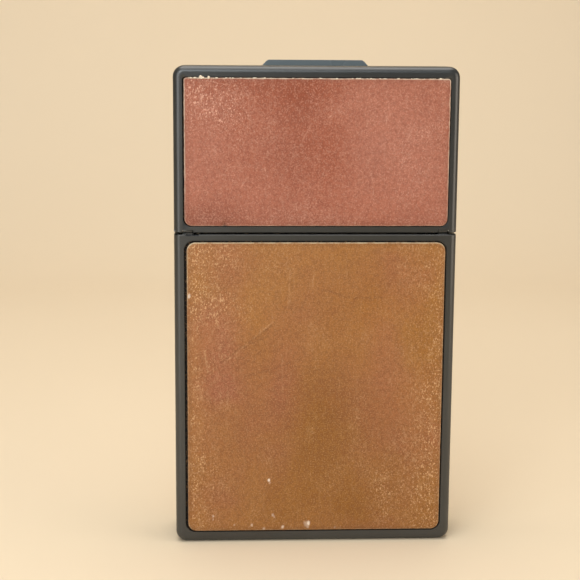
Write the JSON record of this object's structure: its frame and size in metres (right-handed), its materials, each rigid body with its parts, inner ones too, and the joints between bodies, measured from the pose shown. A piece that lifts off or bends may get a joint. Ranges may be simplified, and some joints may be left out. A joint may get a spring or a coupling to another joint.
{
  "type": "folding instant camera",
  "caption": "Folded pocket-size instant camera with leather panels: hinged covers, film door, bellows, mirrors, rollers, lens and shutter in a flat case.",
  "frame": {"origin": "centre of the flat rear end face the folded body stands on", "axes": "+Z along the length from the rear hinge end to the front end, +Y from the leather underside towards the top covers, +X across the width"},
  "size_m": [0.104, 0.0297, 0.1805],
  "materials": {
    "black_plastic": "moulded, satin",
    "door_plastic": "moulded, satin",
    "cover_plastic": "moulded, satin",
    "front_cover_plastic": "moulded, satin",
    "hood_plastic": "moulded, satin",
    "leather": "aniline leather, worn",
    "door_leather": "aniline leather, worn",
    "steel": "pressed sheet",
    "zinc_screw": "zinc plated",
    "pin_steel": "ground",
    "roller_steel": "polished, fine matt",
    "pack_plastic": "moulded",
    "battery_card": "flat wrapped cell",
    "film_sheet": "coated",
    "contact_brass": "plated",
    "motor_can": "drawn can",
    "clear_plastic": "clear",
    "inner_plastic": "flocked black",
    "mirror_glass": "front silvered",
    "bellows_rubber": "pleated, matt",
    "gear_nylon": "acetal",
    "counter_white": "plain",
    "latch_yellow": "moulded",
    "housing_plastic": "moulded black",
    "blade_steel": "blackened",
    "copper_coil": "enamelled wire",
    "board_card": "laminate",
    "lens_glass": "coated",
    "wheel_plastic": "knurled",
    "cell_window": "tinted window",
    "button_red": "moulded"
  },
  "bodies": {
    "base": {"base_housing": "black_plastic", "base_leather": "leather", "chassis_frame": "steel", "chassis_screws": "zinc_screw", "film_pack_case": "pack_plastic", "film_pack_battery": "battery_card", "film_sheets": "film_sheet", "pack_spring": "steel", "battery_contacts": "contact_brass", "drive_motor": "motor_can", "gear_axles": "pin_steel", "counter_window": "clear_plastic", "rear_hinge_rod": "pin_steel", "board_pivot_pins": "pin_steel", "door_hinge_pins": "pin_steel", "reflex_carrier": "inner_plastic", "fresnel_mirror": "mirror_glass", "bellows": "bellows_rubber"},
    "motor_pinion": {"motor_pinion": "gear_nylon"},
    "idler_gear_large": {"idler_gear_large": "gear_nylon"},
    "idler_gear_small": {"idler_gear_small": "gear_nylon"},
    "pick_arm": {"pick_arm": "steel"},
    "counter_wheel": {"counter_wheel": "counter_white"},
    "erecting_brace": {"erecting_brace": "steel"},
    "film_door": {"film_door": "door_plastic", "door_leather": "door_leather", "film_guide": "inner_plastic", "roller_bracket": "steel"},
    "lower_roller": {"lower_roller": "roller_steel", "roller_gear": "gear_nylon"},
    "upper_roller": {"upper_roller": "roller_steel"},
    "door_latch": {"door_latch": "latch_yellow"},
    "rear_cover": {"rear_cover": "cover_plastic", "rear_cover_leather": "leather", "taking_mirror": "mirror_glass", "mirror_backing": "inner_plastic"},
    "front_cover": {"front_cover": "front_cover_plastic", "finder_mirror": "mirror_glass", "finder_pins": "pin_steel"},
    "finder_hood": {"finder_hood": "hood_plastic", "finder_leather": "leather"},
    "finder_shield": {"finder_shield": "inner_plastic", "eyepiece_lens": "lens_glass"},
    "lens_board": {"shutter_housing": "housing_plastic", "housing_back_plate": "inner_plastic", "cover_pivot_pins": "pin_steel", "shutter_baseplate": "steel", "shutter_solenoid": "copper_coil", "control_board": "board_card", "rear_lens": "lens_glass", "metering_block": "cell_window"},
    "shutter_blade_a": {"shutter_blade_a": "blade_steel"},
    "shutter_blade_b": {"shutter_blade_b": "blade_steel"},
    "walking_beam": {"walking_beam": "gear_nylon"},
    "lens_barrel": {"lens_barrel": "wheel_plastic", "front_lens": "lens_glass"},
    "focus_wheel": {"focus_wheel": "wheel_plastic"},
    "exposure_wheel": {"exposure_wheel": "wheel_plastic"},
    "shutter_button": {"shutter_button": "button_red"}
  },
  "joints": [
    {"name": "rear_cover_hinge", "type": "hinge", "parent": "base", "child": "rear_cover", "pos_m": [0, 0.0029, 0.004], "axis": [-1, 0, 0], "range_deg": [0, 57], "stiffness_Nm_per_rad": 0.5},
    {"name": "lens_board_hinge", "type": "hinge", "parent": "base", "child": "lens_board", "pos_m": [0, 0.0038, 0.115], "axis": [-1, 0, 0], "range_deg": [0, 91.44]},
    {"name": "front_cover_hinge", "type": "hinge", "parent": "lens_board", "child": "front_cover", "pos_m": [0, 0.0093, 0.1746], "axis": [1, 0, 0], "range_deg": [0, 135.7]},
    {"name": "finder_hood_hinge", "type": "hinge", "parent": "front_cover", "child": "finder_hood", "pos_m": [0, 0.0127, 0.165], "axis": [1, 0, 0], "range_deg": [0, 37.01]},
    {"name": "finder_shield_hinge", "type": "hinge", "parent": "finder_hood", "child": "finder_shield", "pos_m": [0, 0.0138, 0.1269], "axis": [1, 0, 0], "range_deg": [0, 53.01]},
    {"name": "brace_hinge", "type": "hinge", "parent": "base", "child": "erecting_brace", "pos_m": [0, 0.0011, 0.04], "axis": [-1, 0, 0], "range_deg": [0, 90.81]},
    {"name": "film_door_hinge", "type": "hinge", "parent": "base", "child": "film_door", "pos_m": [0, -0.0112, 0.1189], "axis": [1, 0, 0], "range_deg": [0, 80]},
    {"name": "latch_slide", "type": "slide", "parent": "film_door", "child": "door_latch", "axis": [0, 0, 1], "range_m": [0, 0.003]},
    {"name": "lower_roller_spin", "type": "hinge", "parent": "film_door", "child": "lower_roller", "pos_m": [0, -0.0051, 0.1222], "axis": [1, 0, 0], "continuous": true},
    {"name": "upper_roller_spin", "type": "hinge", "parent": "film_door", "child": "upper_roller", "pos_m": [0, 0.0006, 0.1222], "axis": [1, 0, 0], "continuous": true},
    {"name": "small_idler_spin", "type": "hinge", "parent": "base", "child": "idler_gear_small", "pos_m": [0, -0.0056, 0.11502], "axis": [1, 0, 0], "continuous": true},
    {"name": "large_idler_spin", "type": "hinge", "parent": "base", "child": "idler_gear_large", "pos_m": [0, -0.00427, 0.10551], "axis": [1, 0, 0], "continuous": true},
    {"name": "motor_spin", "type": "hinge", "parent": "base", "child": "motor_pinion", "pos_m": [0, -0.00482, 0.09753], "axis": [1, 0, 0], "continuous": true},
    {"name": "pick_slide", "type": "slide", "parent": "base", "child": "pick_arm", "axis": [0, 0, 1], "range_m": [0, 0.005]},
    {"name": "counter_spin", "type": "hinge", "parent": "base", "child": "counter_wheel", "pos_m": [0.027, -0.0053, 0.003], "axis": [0, 0, 1], "continuous": true},
    {"name": "blade_a_slide", "type": "slide", "parent": "lens_board", "child": "shutter_blade_a", "axis": [1, 0, 0], "range_m": [0, 0.0036]},
    {"name": "blade_b_slide", "type": "slide", "parent": "lens_board", "child": "shutter_blade_b", "axis": [-1, 0, 0], "range_m": [0, 0.00361]},
    {"name": "walking_beam_hinge", "type": "hinge", "parent": "lens_board", "child": "walking_beam", "pos_m": [-0.024, 0.0031, 0.15], "axis": [0, -1, 0], "range_deg": [0, 23]},
    {"name": "lens_spin", "type": "hinge", "parent": "lens_board", "child": "lens_barrel", "pos_m": [0, 0.0008, 0.15], "axis": [0, 1, 0], "range_deg": [-150, 150]},
    {"name": "focus_spin", "type": "hinge", "parent": "lens_board", "child": "focus_wheel", "pos_m": [-0.0304, 0.0008, 0.156], "axis": [0, 1, 0], "range_deg": [-194.5, 194.5]},
    {"name": "exposure_spin", "type": "hinge", "parent": "lens_board", "child": "exposure_wheel", "pos_m": [0.03, 0.0003, 0.1375], "axis": [0, 1, 0], "range_deg": [-45, 45]},
    {"name": "button_press", "type": "slide", "parent": "lens_board", "child": "shutter_button", "axis": [0, 1, 0], "range_m": [0, 0.0012], "stiffness_N_per_m": 400}
  ],
  "couplings": [
    {"joint": "lens_board_hinge", "follows": "rear_cover_hinge", "ratio": 1.604},
    {"joint": "front_cover_hinge", "follows": "rear_cover_hinge", "ratio": 2.3806},
    {"joint": "finder_hood_hinge", "follows": "rear_cover_hinge", "ratio": 0.64912},
    {"joint": "finder_shield_hinge", "follows": "rear_cover_hinge", "ratio": 0.92982},
    {"joint": "brace_hinge", "follows": "rear_cover_hinge", "ratio": 1.593},
    {"joint": "upper_roller_spin", "follows": "lower_roller_spin", "ratio": -1},
    {"joint": "small_idler_spin", "follows": "lower_roller_spin", "ratio": -0.8},
    {"joint": "large_idler_spin", "follows": "lower_roller_spin", "ratio": 0.57143},
    {"joint": "motor_spin", "follows": "lower_roller_spin", "ratio": -1.3333},
    {"joint": "blade_b_slide", "follows": "blade_a_slide", "ratio": 1},
    {"joint": "walking_beam_hinge", "follows": "blade_a_slide", "rad_per_m": 111.11},
    {"joint": "focus_spin", "follows": "lens_spin", "ratio": -1.2963}
  ]
}
